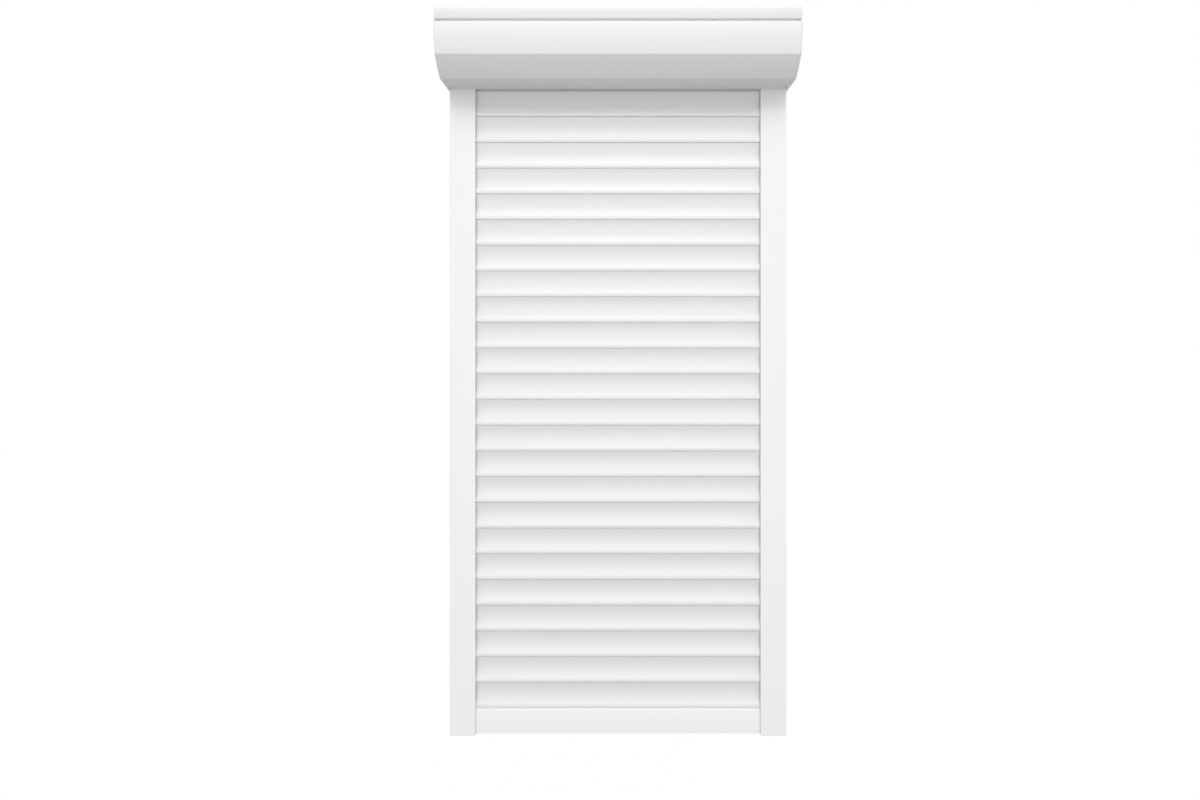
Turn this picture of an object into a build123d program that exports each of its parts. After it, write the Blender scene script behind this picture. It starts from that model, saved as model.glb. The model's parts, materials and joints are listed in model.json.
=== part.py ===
from build123d import *
from math import acos, asin, atan2, cos, degrees, hypot, radians, sin, tan
import os

os.makedirs("parts", exist_ok=True)

# An exterior roller shutter: a curtain of slats in two guide rails, with its box above.
# Sizes are in millimetres. X runs along the width, the wall is the plane y = 0, the street
# lies towards -Y, and z = 0 is the sill on which the rails stand. "Depth" is the distance
# from the wall towards the street.

# Driving sizes
width = 1200            # over the outer edges of the two guide rails
slat_count = 24         # slats between sill and box when the curtain is down
slat_pitch = 92         # from one slat to the next
bar_height = 92         # bottom bar with its seal
rail_face = 92          # a guide rail seen from the street
rail_depth = 34
box_height = 205
box_depth = 205

# Gaps between pieces
seat_gap = 0.2          # between pieces that are fixed to each other
fit_gap = 0.05          # around round fits
running_gap = 0.5       # between pieces that pass each other
overrun = 1             # how far a cut runs past the face that it opens

# Slat section
slat_thickness = 9
slat_wall = 1.2
slat_bow = 7            # depth of the hollow in a slat's face
slat_slit = 2.5         # shadow line between a lip and the slat below
lip_height = 12         # rounded lip along a slat's foot
lip_bulge = 1.5
face_reach = 4          # from the line of the beads to the ends of the face
bead_radius = 3.2       # bead along a slat's head, which the next slat hooks on
bead_gap = 0.3
bead_rise = 4.8         # from a lip's foot up to the bead inside it
neck_thickness = 1.6    # web that carries the bead
entry_gap = 16          # from the bead of the topmost slat to the corners of the shaft

# Locks in the slats' ends
lock_plug = 18
lock_plate = 3
lock_gap = 0.3

# Bottom bar
bar_thickness = 13
bar_wall = 2
bar_bevel = 1.5
seal_height = 8         # from the sill to the bar's metal
seal_clear = 0.5        # the seal's foot above the sill
seal_width = 9
seal_neck = 4
seal_head = 7.6
seal_head_height = 2.6
glide_foot = 12         # end glides of the bar, above the sill
glide_stop_gap = 2      # what the bar's head stays below the box when the stops meet

# Guide rail
rail_wall = 1.8
cover_wall = 1.5
cover_round = 1.2
channel_reach = 48      # how far the curtain's pocket reaches into a rail
end_gap = 7             # from a slat's end to the bottom of the pocket
groove_rib = 1          # ribs that hold a seal
groove_width = 5.4
groove_depth = 2.6
groove_catch = 0.8
rail_seal_base = 1.2
rail_seal_lip = 2.2
catch = 0.8             # catches between rail and cover
catch_height = 1
catch_depth = 22        # from the wall to the catches
leg_wall = 1.2
foot_plate = 3
foot_plug = 24
foot_plug_width = 20
foot_plug_depth = 16
wall_screw_radius = 3.1
wall_screw_first = 150  # from the sill to the lowest wall screw
wall_screw_rows = 5
box_screw_spacing = 800
box_screw_drop = 32     # from the box's top to its wall screws

# Inlet guides and rollers above the rails
guide_tongue = 35
cheek_wall = 4
roller_radius = 7
roller_length = 34
roller_bearing = 37     # degrees from the leaning slat's face at which the roller touches
roller_pin_radius = 3
roller_pin_head = 4.6
roller_pin_head_length = 1.6
roller_side_gap = 0.8
cheek_edge = 4          # cheek around the roller

# Box
sheet = 1.2
bend_radius = 2.2
lip_drop = 35           # front edge of the top panel
lip_return = 6
lip_lean = 3            # how far the lip's foot is set back
groove_height = 8       # shadow groove between top panel and front panel
corner_share = 0.3      # of a bend's radius that a square corner inside it stays off
face_lean = 16          # how far the front panel curves back down to the foot of its face
crown_share = 0.9       # of the face that this curve takes up
face_foot = 58          # from the box's foot to the lower edge of the face
underside_depth = 130   # from the wall to the front edge of the underside
cap_plate = 5
cap_proud = 1           # rim of an end cap outside the panels
flange_wall = 3
flange_depth = 18
notch_gap = 1.5
tongue_length = 60
tongue_inset = 3

# Fasteners, one size
screw_radius = 2.5
screw_length = 8
screw_head_radius = 4.6
screw_head_height = 2.6
screw_bore_gap = 0.1
panel_screw_shares = (0.3, 0.72)     # along the underside and the top
bracket_screw_share = 0.4            # of a bracket's side, from its middle

# Shaft
tube_flats = 60
tube_wall = 1
tube_sides = 8
strip_width = 40
strip_thickness = 0.7
strip_spacing = 350
strip_start = -60       # degrees round the shaft, from the street upwards
strip_peg_turn = -45
strip_peg_radius = 3
strip_peg_length = 5

# Drive side
bracket_side = 74
bracket_plate = 4
collar_depth = 10
collar_wall = 4
head_radius = 25.8
head_length = 30
motor_radius = 22.5
motor_length = 460
crown_length = 15
adaptor_length = 20
output_radius = 6
output_length = 25
side_gap = 1.5
cable_radius = 4
grommet_radius = 9
grommet_neck = 7
grommet_height = 4
cable_inset = 60        # from the rail's outer edge to the cable
cable_rise = 30         # from the box's foot to the cable

# Idler side
pin_radius = 6
pin_length = 94
plug_length = 30
plug_rim = 2
ring_inner_radius = 8.5
ring_outer_radius = 13.5
bearing_radius = 16
bearing_width = 10
ball_radius = 2.9
ball_gap = 0.1
ball_count = 7
holder_depth = 12

# Heights
rail_length = bar_height + slat_count * slat_pitch
box_foot = rail_length
box_top = box_foot + box_height
pivot_height = box_foot + bead_rise
slat_shoulder = slat_pitch - slat_slit
glide_top = bar_height - guide_tongue - glide_stop_gap

# Places across a rail, from the middle of the curtain outwards
mouth = width / 2 - rail_face
channel_end = mouth + channel_reach
chamber_start = channel_end + rail_wall
chamber_end = width / 2 - rail_wall
chamber_middle = (chamber_start + chamber_end) / 2
chamber_half = (chamber_end - chamber_start) / 2
slat_end = channel_end - end_gap

# Depths from the wall
base_depth = rail_depth - cover_wall - seat_gap
channel_front = base_depth - rail_wall
front_reach = face_reach + lip_bulge
rear_reach = slat_thickness - face_reach
back_reach = rear_reach + slat_bow
curtain_depth = (rail_wall + channel_front) / 2 + (back_reach - front_reach) / 2
bar_back = bar_thickness - front_reach
shaft_depth = box_depth / 2
shaft_height = box_foot + box_height / 2

right_way = 1
left_way = -1
sides = {"right": right_way, "left": left_way}
full_turn = 360

# The topmost slat leans towards the shaft as far as the shaft's corners allow
tube_turn = full_turn / tube_sides / 2
tube_corner = tube_flats / 2 / cos(radians(tube_turn))
tilt = asin((shaft_depth - tube_corner - entry_gap - curtain_depth) / slat_pitch)


def across(x):
    """Plane square to the width: first axis to the street, second up, extrudes to the left."""
    return Plane(origin=(x, 0, 0), x_dir=(0, -1, 0), z_dir=(-1, 0, 0))


def level(z):
    """Level plane: first axis along the width, second to the street, extrudes downwards."""
    return Plane(origin=(0, 0, z), x_dir=(1, 0, 0), z_dir=(0, 0, -1))


def shaft_plane(x):
    """Plane square to the shaft, with its origin on the shaft's axis."""
    return Plane(origin=(x, -shaft_depth, shaft_height), x_dir=(0, -1, 0), z_dir=(-1, 0, 0))


def slat_plane(x, foot, lean=0):
    """Plane of a slat's section: its origin is under the bead's line, at the lip's foot."""
    front = (0, -cos(lean), -sin(lean))
    pivot = (-curtain_depth, foot + bead_rise)
    origin = (x, pivot[0] + bead_rise * sin(lean), pivot[1] - bead_rise * cos(lean))
    return Plane(origin=origin, x_dir=front, z_dir=(-1, 0, 0))


def leaning(reach, rise):
    """Depth and height of a point of the topmost slat, counted from the bead it hangs on."""
    return (curtain_depth + reach * cos(tilt) + rise * sin(tilt),
            pivot_height - reach * sin(tilt) + rise * cos(tilt))


def patch(start, end, mode=Mode.ADD):
    """Rectangle between two opposite corners."""
    with Locations(((start[0] + end[0]) / 2, (start[1] + end[1]) / 2)):
        Rectangle(abs(end[0] - start[0]), abs(end[1] - start[1]), mode=mode)


def bore(planes, radius, depth):
    """Round holes that go down into the part from the given planes."""
    for plane in planes:
        with BuildSketch(plane) as hole:
            Circle(radius)
        extrude(hole.sketch, amount=-depth, mode=Mode.SUBTRACT)


def keep(builder, name):
    """Label a finished piece and write it."""
    builder.part.label = name
    export_step(builder.part, f"parts/{name}.step")


# Slat section, drawn with its foot at the origin
face_middle = (lip_height + slat_shoulder) / 2
slot_rear = neck_thickness / 2 + bead_gap
slot_front = (neck_thickness / 2 + bead_gap + bead_rise * sin(tilt)) / cos(tilt)

with BuildSketch() as slat_outline:
    with BuildLine():
        ThreePointArc((face_reach, 0), (front_reach, lip_height / 2), (face_reach, lip_height))
        ThreePointArc(
            (face_reach, lip_height), (face_reach - slat_bow, face_middle),
            (face_reach, slat_shoulder))
        Line((face_reach, slat_shoulder), (-rear_reach, slat_shoulder))
        ThreePointArc(
            (-rear_reach, slat_shoulder), (-back_reach, face_middle),
            (-rear_reach, lip_height))
        Polyline((-rear_reach, lip_height), (-rear_reach, 0), (face_reach, 0))
    make_face()

with BuildSketch() as slat_hollow:
    inner_front = face_reach - slat_wall
    inner_rear = slat_wall - rear_reach
    with BuildLine():
        ThreePointArc(
            (inner_front, lip_height), (inner_front - slat_bow, face_middle),
            (inner_front, slat_shoulder))
        Line((inner_front, slat_shoulder), (inner_rear, slat_shoulder))
        ThreePointArc(
            (inner_rear, slat_shoulder), (inner_rear - slat_bow, face_middle),
            (inner_rear, lip_height))
        Line((inner_rear, lip_height), (inner_front, lip_height))
    make_face()
    patch((-back_reach, slat_shoulder - slat_wall), (front_reach, slat_pitch), Mode.SUBTRACT)

with BuildSketch() as slat_section:
    add(slat_outline.sketch)
    add(slat_hollow.sketch, mode=Mode.SUBTRACT)
    with Locations((0, bead_rise)):
        Circle(bead_radius + bead_gap, mode=Mode.SUBTRACT)
    patch((-slot_rear, -overrun), (slot_front, bead_rise / 2), Mode.SUBTRACT)
    patch((-neck_thickness / 2, slat_shoulder), (neck_thickness / 2, slat_pitch + bead_rise))
    with Locations((0, slat_pitch + bead_rise)):
        Circle(bead_radius)

# Slats: all but the topmost hang straight in the rails, and that one leans to the shaft
slat_feet = [bar_height + row * slat_pitch for row in range(slat_count)]
slat_places = [(f"slat_{row:02d}", foot, 0) for row, foot in enumerate(slat_feet, start=1)]
slat_places.append(("entry_slat", rail_length, tilt))

for name, foot, lean in slat_places:
    with BuildPart() as slat:
        with BuildSketch(slat_plane(0, foot, lean)):
            add(slat_section.sketch)
        extrude(amount=slat_end, both=True)
    keep(slat, name)

# End locks: a plug in each end of every slat, with a plate that runs in the rail
with BuildPart() as slat_end_locks:
    for _, foot, lean in slat_places:
        with BuildSketch(slat_plane(slat_end, foot, lean)):
            offset(slat_hollow.sketch, amount=-lock_gap, mode=Mode.ADD)
        extrude(amount=lock_plug)
        with BuildSketch(slat_plane(slat_end + lock_plate, foot, lean)):
            offset(slat_outline.sketch, amount=-lock_gap, mode=Mode.ADD)
        extrude(amount=lock_plate)
    mirror(about=Plane.YZ)
keep(slat_end_locks, "slat_end_locks")

# Bottom bar
bar_shoulder = bar_height - slat_slit
bar_block = seal_height + bar_wall + seal_head_height + seat_gap + seat_gap + bar_wall

with BuildSketch() as bar_hollow:
    patch((-bar_back + bar_wall, bar_block), (front_reach - bar_wall, bar_shoulder - bar_wall))

with BuildSketch() as bar_section:
    with BuildLine():
        Polyline(
            (-bar_back, seal_height), (front_reach, seal_height),
            (front_reach, bar_shoulder - bar_bevel), (front_reach - bar_bevel, bar_shoulder),
            (-bar_back, bar_shoulder), close=True)
    make_face()
    add(bar_hollow.sketch, mode=Mode.SUBTRACT)
    bar_middle = (front_reach - bar_back) / 2
    patch(
        (bar_middle - seal_neck / 2 - seat_gap, seal_height - overrun),
        (bar_middle + seal_neck / 2 + seat_gap, seal_height + bar_wall + seat_gap),
        Mode.SUBTRACT)
    patch(
        (bar_middle - seal_head / 2 - seat_gap, seal_height + bar_wall),
        (bar_middle + seal_head / 2 + seat_gap, bar_block - bar_wall),
        Mode.SUBTRACT)
    patch((-neck_thickness / 2, bar_shoulder), (neck_thickness / 2, bar_height + bead_rise))
    with Locations((0, bar_height + bead_rise)):
        Circle(bead_radius)

with BuildPart() as bottom_bar:
    with BuildSketch(slat_plane(0, 0)):
        add(bar_section.sketch)
    extrude(amount=slat_end, both=True)
keep(bottom_bar, "bottom_bar")

with BuildPart() as bar_seal:
    head_foot = seal_height + bar_wall + seat_gap
    bulb_radius = seal_width / 2
    with BuildSketch(slat_plane(0, 0)):
        with Locations((bar_middle, seal_clear + bulb_radius)):
            Circle(bulb_radius)
        patch(
            (bar_middle - bulb_radius, seal_height),
            (bar_middle + bulb_radius, seal_height + bulb_radius), Mode.SUBTRACT)
        patch(
            (bar_middle - bulb_radius, seal_clear + bulb_radius),
            (bar_middle + bulb_radius, seal_height))
        patch(
            (bar_middle - seal_neck / 2, seal_height),
            (bar_middle + seal_neck / 2, head_foot))
        patch(
            (bar_middle - seal_head / 2, head_foot),
            (bar_middle + seal_head / 2, head_foot + seal_head_height))
    extrude(amount=slat_end, both=True)
keep(bar_seal, "bar_seal")

# End glides of the bar: their plates are as deep as the pocket and meet the inlet guides
with BuildPart() as bar_end_glides:
    with BuildSketch(slat_plane(slat_end, 0)):
        offset(bar_hollow.sketch, amount=-lock_gap, kind=Kind.INTERSECTION, mode=Mode.ADD)
    extrude(amount=lock_plug)
    with BuildSketch(across(slat_end + lock_plate)):
        patch(
            (rail_wall + running_gap, glide_foot),
            (channel_front - running_gap, glide_top))
    extrude(amount=lock_plate)
    mirror(about=Plane.YZ)
keep(bar_end_glides, "bar_end_glides")

# Guide rails: an extruded base against the wall, with the pocket for the slats and a screw
# chamber beside it, and a cover that clips on from the street
wall_screw_step = (rail_length - wall_screw_first - wall_screw_first) / (wall_screw_rows - 1)
wall_screw_heights = [wall_screw_first + row * wall_screw_step for row in range(wall_screw_rows)]

with BuildPart() as rail_base_right:
    with BuildSketch(level(rail_length)):
        patch((mouth, 0), (width / 2, rail_wall))
        patch((chamber_end, 0), (width / 2, base_depth))
        patch((channel_end, 0), (chamber_start, base_depth))
        patch((mouth, channel_front), (chamber_start, base_depth))
        for root, way in ((rail_wall, 1), (channel_front, -1)):
            rib_top = root + way * groove_depth
            rib_under = rib_top - way * groove_rib
            far = mouth + groove_rib + groove_width
            patch((mouth, root), (mouth + groove_rib, rib_top))
            patch((mouth, rib_under), (mouth + groove_rib + groove_catch, rib_top))
            patch((far, root), (far + groove_rib, rib_top))
            patch((far - groove_catch, rib_under), (far + groove_rib, rib_top))
        for way in (1, -1):
            patch(
                (chamber_middle + way * chamber_half, catch_depth + catch_height + seat_gap),
                (chamber_middle + way * (chamber_half - catch),
                 catch_depth + catch_height + seat_gap + catch_height))
    extrude(amount=rail_length - foot_plate)
    with BuildSketch(Plane.XZ):
        with Locations([(chamber_middle, height) for height in wall_screw_heights]):
            Circle(wall_screw_radius)
    extrude(amount=rail_wall, mode=Mode.SUBTRACT)

with BuildPart() as rail_cover_right:
    leg_outside = chamber_half - catch - seat_gap
    with BuildSketch(level(rail_length)):
        patch((mouth, rail_depth - cover_wall), (width / 2, rail_depth))
        for way in (1, -1):
            patch(
                (chamber_middle + way * leg_outside, catch_depth),
                (chamber_middle + way * (leg_outside - leg_wall), rail_depth - cover_wall))
            patch(
                (chamber_middle + way * (chamber_half - seat_gap), catch_depth),
                (chamber_middle + way * leg_outside, catch_depth + catch_height))
    extrude(amount=rail_length - foot_plate)
    street_edges = rail_cover_right.edges().filter_by(Axis.Z).group_by(Axis.Y)[0]
    fillet(street_edges, radius=cover_round)

with BuildPart() as rail_seals_right:
    groove_middle = mouth + groove_rib + groove_width / 2
    with BuildSketch(level(rail_length)):
        for root, way, tip in (
            (rail_wall, 1, curtain_depth - back_reach - running_gap),
            (channel_front, -1, curtain_depth + front_reach + running_gap),
        ):
            patch(
                (mouth + groove_rib + seat_gap, root),
                (mouth + groove_rib + groove_width - seat_gap, root + way * rail_seal_base))
            patch(
                (groove_middle - rail_seal_lip / 2, root),
                (groove_middle + rail_seal_lip / 2, tip))
    extrude(amount=rail_length - foot_plate)

for piece, name in (
    (rail_base_right, "rail_base"),
    (rail_cover_right, "rail_cover"),
    (rail_seals_right, "rail_seals"),
):
    keep(piece, f"{name}_right")
    with BuildPart() as mirrored:
        mirror(piece.part, about=Plane.YZ)
    keep(mirrored, f"{name}_left")

# Feet that close the rails at the sill and leave the pocket open
with BuildPart() as rail_feet:
    plug_depth = rail_wall + seat_gap
    with BuildSketch(level(foot_plate)):
        patch((mouth, 0), (width / 2, rail_depth))
        patch((mouth - overrun, rail_wall), (channel_end, channel_front), Mode.SUBTRACT)
    extrude(amount=foot_plate)
    with BuildSketch(level(foot_plate + foot_plug)):
        patch(
            (chamber_middle - foot_plug_width / 2, plug_depth),
            (chamber_middle + foot_plug_width / 2, plug_depth + foot_plug_depth))
    extrude(amount=foot_plug)
    mirror(about=Plane.YZ)
keep(rail_feet, "rail_feet")

# Inlet guides: two jaws that plug into the pocket's head, and a cheek that holds a roller
roller_reach = roller_radius + running_gap
roller_turn = radians(roller_bearing)
roller_depth, roller_height = leaning(
    face_reach + roller_reach * cos(roller_turn),
    lip_height - bead_rise + roller_reach * sin(roller_turn))
jaw_start = mouth + groove_rib + groove_width + groove_rib + running_gap
jaw_end = channel_end - seat_gap
jaw_head = roller_height - roller_radius - running_gap
cheek_start = chamber_start
cheek_end = chamber_start + cheek_wall
cheek_foot = rail_length + sheet + seat_gap
roller_end = cheek_start - roller_side_gap
roller_start = roller_end - roller_length
jaws = (
    (rail_wall + seat_gap, curtain_depth - back_reach - running_gap),
    (curtain_depth + front_reach + running_gap, channel_front - seat_gap),
)

with BuildPart() as inlet_guide_right:
    with BuildSketch(level(rail_length)):
        for rear, front in jaws:
            patch((jaw_start, rear), (jaw_end, front))
    extrude(amount=guide_tongue)
    with BuildSketch(level(jaw_head)):
        for rear, front in jaws:
            patch((jaw_start, rear), (cheek_start, front))
    extrude(amount=jaw_head - rail_length)
    with BuildSketch(level(cheek_foot)):
        for rear, front in jaws:
            patch((cheek_start, rear), (cheek_end, front))
    extrude(amount=cheek_foot - rail_length)
    with BuildSketch(across(cheek_end)):
        patch(
            (rail_wall + seat_gap, cheek_foot),
            (roller_depth + roller_radius + cheek_edge,
             roller_height + roller_radius + cheek_edge))
        with Locations((roller_depth, roller_height)):
            Circle(roller_pin_radius + fit_gap, mode=Mode.SUBTRACT)
    extrude(amount=cheek_wall)

with BuildPart() as inlet_roller_right:
    with BuildSketch(across(roller_end)):
        with Locations((roller_depth, roller_height)):
            Circle(roller_radius)
            Circle(roller_pin_radius + fit_gap, mode=Mode.SUBTRACT)
    extrude(amount=roller_length)

for piece, name in ((inlet_guide_right, "inlet_guide"), (inlet_roller_right, "inlet_roller")):
    keep(piece, f"{name}_right")
    with BuildPart() as mirrored:
        mirror(piece.part, about=Plane.YZ)
    keep(mirrored, f"{name}_left")

with BuildPart() as roller_pins:
    pin_inner = roller_start - roller_side_gap
    with BuildSketch(across(cheek_end)):
        with Locations((roller_depth, roller_height)):
            Circle(roller_pin_radius)
    extrude(amount=cheek_end - pin_inner)
    with BuildSketch(across(pin_inner)):
        with Locations((roller_depth, roller_height)):
            Circle(roller_pin_head)
    extrude(amount=roller_pin_head_length)
    mirror(about=Plane.YZ)
keep(roller_pins, "roller_pins")

# Screws: the panels' on the underside and the top of both ends, the brackets' on the caps
underside_run = underside_depth - rail_depth
flange_middle = (width - flange_depth) / 2
bracket_screw = bracket_side * bracket_screw_share
bracket_face = width / 2 - bracket_plate
underside_screws = [
    Plane(origin=(way * flange_middle, -rail_depth - share * underside_run, box_foot),
          z_dir=(0, 0, -1))
    for way in sides.values() for share in panel_screw_shares]
top_screws = [
    Plane(origin=(way * flange_middle, -share * box_depth, box_top), z_dir=(0, 0, 1))
    for way in sides.values() for share in panel_screw_shares]
bracket_screws = {
    side: [
        Plane(origin=(way * bracket_face, -shaft_depth - across_way * bracket_screw,
                      shaft_height + up_way * bracket_screw), z_dir=(-way, 0, 0))
        for across_way in (1, -1) for up_way in (1, -1)]
    for side, way in sides.items()}
screw_bore = screw_radius + screw_bore_gap

with BuildPart() as box_screws:
    for plane in underside_screws + top_screws + bracket_screws["left"] + bracket_screws["right"]:
        with BuildSketch(plane):
            Circle(screw_head_radius)
        extrude(amount=screw_head_height)
        with BuildSketch(plane):
            Circle(screw_radius)
        extrude(amount=-screw_length)
keep(box_screws, "box_screws")

# Box: the top panel also forms the back, and ends at the front in a lip with a return.
# The front panel hooks on that return and carries the crowned face, bevel and underside.
lip_foot = box_top - lip_drop
lip_depth = box_depth - lip_lean
face_top = lip_foot - groove_height
crown_run = (face_top - box_foot - face_foot) / 2
crown_height = face_top - crown_run
crown_radius = crown_share * crown_run / tan(atan2(face_lean, crown_run) / 2)
hook_gap = corner_share * bend_radius + seat_gap
hook_depth = lip_depth - lip_return - hook_gap
hook_tip = lip_depth - bend_radius - running_gap
hook_height = lip_foot + sheet + hook_gap

with BuildPart() as box_top_back_panel:
    with BuildSketch(across(0)):
        with BuildLine():
            FilletPolyline(
                (0, box_foot), (0, box_top), (box_depth, box_top), (lip_depth, lip_foot),
                (lip_depth - lip_return, lip_foot), radius=bend_radius)
            offset(amount=sheet, side=Side.LEFT)
        make_face()
    extrude(amount=width / 2, both=True)
    bore(top_screws, screw_bore, sheet)
    with BuildSketch(Plane.XZ):
        with Locations([
            (way * box_screw_spacing / 2, box_top - box_screw_drop) for way in sides.values()]):
            Circle(wall_screw_radius)
        with Locations((cable_inset - width / 2, box_foot + cable_rise)):
            Circle(grommet_neck + seat_gap)
    extrude(amount=sheet, mode=Mode.SUBTRACT)
keep(box_top_back_panel, "box_top_back_panel")

panel_bends = (bend_radius, bend_radius, bend_radius, crown_radius, bend_radius, bend_radius)

with BuildPart() as front_panel:
    with BuildSketch(across(0)):
        with BuildLine():
            FilletPolyline(
                (hook_tip, hook_height), (hook_depth, hook_height),
                (hook_depth, face_top), (box_depth, face_top), (box_depth, crown_height),
                (box_depth - face_lean, box_foot + face_foot), (underside_depth, box_foot),
                (rail_depth, box_foot), radius=panel_bends)
            offset(amount=sheet, side=Side.RIGHT)
        make_face()
    extrude(amount=width / 2, both=True)
    bore(underside_screws, screw_bore, sheet)
keep(front_panel, "front_panel")

with BuildSketch() as box_outline:
    with BuildLine():
        Polyline(
            (0, box_foot), (0, box_top), (box_depth, box_top), (box_depth, crown_height),
            (box_depth - face_lean, box_foot + face_foot), (underside_depth, box_foot),
            close=True)
    make_face()
    crown = box_outline.vertices().sort_by_distance((box_depth, crown_height))[0]
    fillet(crown, radius=crown_radius)

# End caps: a plate outside the panels, a flange inside them that leaves the lip and its hook
# free, and a tongue down into the rail
flange_inset = sheet + corner_share * (bend_radius - sheet) + seat_gap
tongue_end = chamber_end - catch - seat_gap - leg_wall - seat_gap
tongue_start = width / 2 - flange_depth

with BuildPart() as end_cap_right:
    with BuildSketch(across(width / 2 + cap_plate)):
        offset(box_outline.sketch, amount=cap_proud, kind=Kind.INTERSECTION, mode=Mode.ADD)
        patch(
            (0, box_foot - cap_proud - overrun),
            (-cap_proud - overrun, box_top + cap_proud + overrun), Mode.SUBTRACT)
    extrude(amount=cap_plate)
    with BuildSketch(across(width / 2)):
        offset(
            box_outline.sketch, amount=-flange_inset, kind=Kind.INTERSECTION, mode=Mode.ADD)
        offset(
            box_outline.sketch, amount=-flange_inset - flange_wall, kind=Kind.INTERSECTION,
            mode=Mode.SUBTRACT)
        patch(
            (hook_depth - sheet - notch_gap, face_top - sheet - notch_gap),
            (box_depth, box_top), Mode.SUBTRACT)
    extrude(amount=flange_depth)
    with BuildSketch(level(box_foot + flange_inset + flange_wall)):
        patch(
            (tongue_start, rail_wall + tongue_inset),
            (tongue_end, channel_front - tongue_inset))
    extrude(amount=flange_inset + flange_wall + tongue_length)
    bore(underside_screws + top_screws, screw_bore, screw_length + overrun)
    bore(bracket_screws["right"], screw_bore, screw_length + seat_gap)
keep(end_cap_right, "end_cap_right")

with BuildPart() as end_cap_left:
    mirror(end_cap_right.part, about=Plane.YZ)
keep(end_cap_left, "end_cap_left")

# Shaft: an eight-sided tube, with spring strips that carry the curtain
tube_start = -width / 2 + bracket_plate + head_length + side_gap
tube_end = width / 2 - holder_depth - bracket_plate - plug_rim - side_gap
plug_flats = tube_flats - tube_wall - tube_wall - seat_gap


def octagon(flats, mode=Mode.ADD):
    """Eight-sided section that fits the shaft's tube."""
    RegularPolygon(flats / 2, tube_sides, major_radius=False, rotation=tube_turn, mode=mode)


def peg_plane(x, radius):
    """Plane that looks outwards from the shaft where a strip's peg sits."""
    turn = radians(strip_peg_turn)
    outward = (0, -cos(turn), sin(turn))
    origin = (x, -shaft_depth + radius * outward[1], shaft_height + radius * outward[2])
    return Plane(origin=origin, x_dir=(1, 0, 0), z_dir=outward)


strip_places = [step * strip_spacing for step in (-1, 0, 1)]
peg_outside = tube_flats / 2

with BuildPart() as roller_tube:
    with BuildSketch(shaft_plane(tube_end)):
        octagon(tube_flats)
        octagon(tube_flats - tube_wall - tube_wall, Mode.SUBTRACT)
    extrude(amount=tube_end - tube_start)
    bore(
        [peg_plane(x, peg_outside + overrun) for x in strip_places],
        strip_peg_radius + seat_gap, overrun + tube_wall + overrun)
keep(roller_tube, "roller_tube")

# A strip lies on the shaft, leaves it on a tangent and ends in an eye round the last bead
strip_line = tube_corner + fit_gap + strip_thickness / 2
eye_radius = bead_radius + bead_gap + strip_thickness / 2
bead_depth, bead_height = leaning(0, slat_pitch)
bead_across = bead_depth - shaft_depth
bead_up = bead_height - shaft_height
bead_far = hypot(bead_across, bead_up)
strip_leave = degrees(atan2(bead_up, bead_across) - acos((strip_line - eye_radius) / bead_far))
strip_turn = strip_leave % full_turn - strip_start
leave_way = radians(strip_leave)
strip_from = (strip_line * cos(leave_way), strip_line * sin(leave_way))
strip_to = (bead_across + eye_radius * cos(leave_way), bead_up + eye_radius * sin(leave_way))

with BuildPart() as hanger_strips:
    for x in strip_places:
        with BuildSketch(shaft_plane(x)):
            with BuildLine(mode=Mode.PRIVATE) as strip_path:
                CenterArc((0, 0), strip_line, strip_start, strip_turn)
                Line(strip_from, strip_to)
            SlotArc(strip_path.wire(), strip_thickness)
            with Locations((bead_across, bead_up)):
                Circle(eye_radius + strip_thickness / 2)
                Circle(bead_radius + bead_gap, mode=Mode.SUBTRACT)
                Rectangle(
                    neck_thickness + bead_gap + bead_gap, eye_radius + strip_thickness,
                    rotation=-degrees(tilt), align=(Align.CENTER, Align.MAX), mode=Mode.SUBTRACT)
        extrude(amount=strip_width / 2, both=True)
        with BuildSketch(peg_plane(x, strip_line)):
            Circle(strip_peg_radius)
        extrude(amount=-strip_peg_length)
keep(hanger_strips, "hanger_strips")

# Drive: a tubular motor inside the shaft, held by its head on the left cap
left_face = -width / 2
head_start = left_face + bracket_plate
motor_start = head_start + head_length
motor_end = motor_start + motor_length

with BuildPart() as motor_bracket:
    with BuildSketch(shaft_plane(head_start)):
        Rectangle(bracket_side, bracket_side)
    extrude(amount=bracket_plate)
    with BuildSketch(shaft_plane(head_start + collar_depth)):
        Circle(head_radius + seat_gap + collar_wall)
        Circle(head_radius + seat_gap, mode=Mode.SUBTRACT)
    extrude(amount=collar_depth)
    bore(bracket_screws["left"], screw_bore, bracket_plate)
keep(motor_bracket, "motor_bracket")

with BuildPart() as motor_head:
    with BuildSketch(shaft_plane(motor_start)):
        Circle(head_radius)
    extrude(amount=head_length)
keep(motor_head, "motor_head")

with BuildPart() as motor_body:
    with BuildSketch(shaft_plane(motor_end)):
        Circle(motor_radius)
    extrude(amount=motor_length)
    with BuildSketch(shaft_plane(motor_end)):
        Circle(output_radius + fit_gap)
    extrude(amount=output_length + side_gap, mode=Mode.SUBTRACT)
keep(motor_body, "motor_body")

with BuildPart() as motor_crown:
    with BuildSketch(shaft_plane(tube_start + crown_length)):
        octagon(plug_flats)
        Circle(motor_radius + fit_gap, mode=Mode.SUBTRACT)
    extrude(amount=crown_length)
keep(motor_crown, "motor_crown")

with BuildPart() as drive_adaptor:
    adaptor_start = motor_end + side_gap
    with BuildSketch(shaft_plane(adaptor_start + adaptor_length)):
        octagon(plug_flats)
    extrude(amount=adaptor_length)
    with BuildSketch(shaft_plane(adaptor_start)):
        Circle(output_radius)
    extrude(amount=output_length)
keep(drive_adaptor, "drive_adaptor")

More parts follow.
